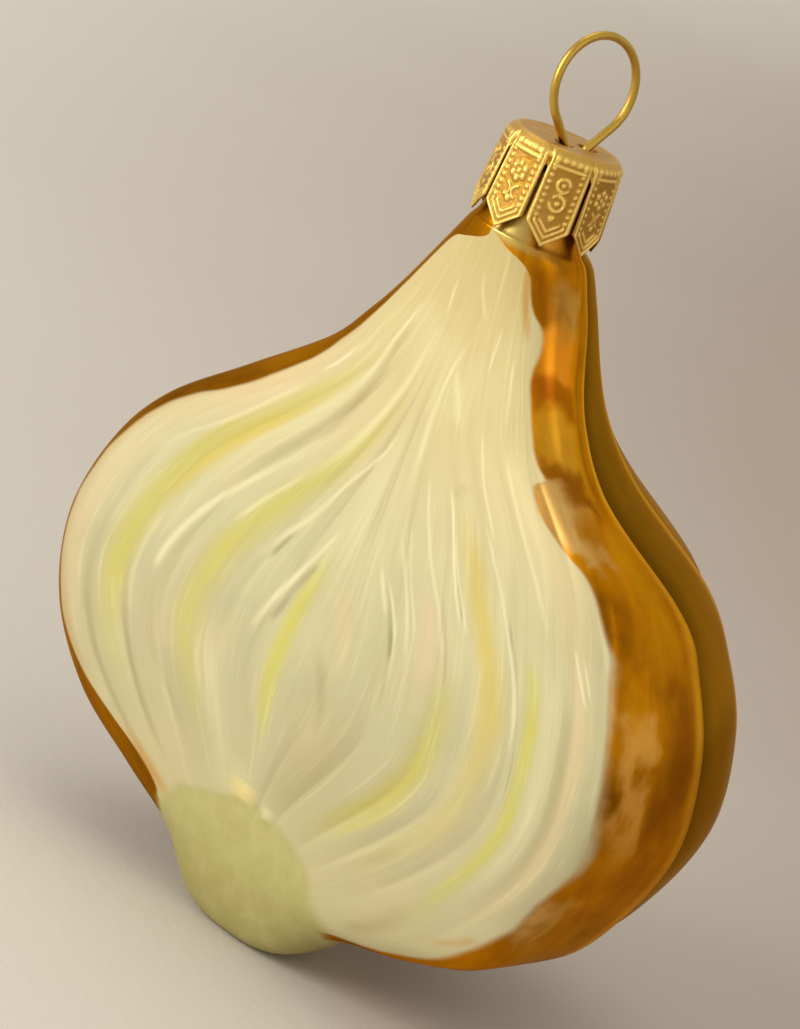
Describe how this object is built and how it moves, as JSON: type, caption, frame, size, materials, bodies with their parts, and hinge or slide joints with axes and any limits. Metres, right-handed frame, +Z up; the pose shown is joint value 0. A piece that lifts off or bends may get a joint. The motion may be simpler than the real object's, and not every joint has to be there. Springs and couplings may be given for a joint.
{
  "type": "glass onion ornament",
  "caption": "Blown-glass onion half with a layered cut face, lobed lacquered skin and a root plate, hung by a wire ring from the stamped crown cap on its neck.",
  "frame": {"origin": "the point inside the top of the hanging ring where a hook or a ribbon carries the ornament", "axes": "+Z up along the line of the neck and the cap, the cut face looks along -Y, +X to the right of it"},
  "size_m": [0.0735, 0.0473, 0.0962],
  "materials": {
    "lacquered_glass": "silvered inside, pearl and amber lacquer outside, glossy",
    "gilt_sheet": "gilt, embossed, softly polished",
    "brass_wire": "drawn, softly polished"
  },
  "bodies": {
    "root": {"glass_body": "lacquered_glass", "crown_cap": "gilt_sheet", "hanger_wire": "brass_wire"}
  },
  "joints": []
}
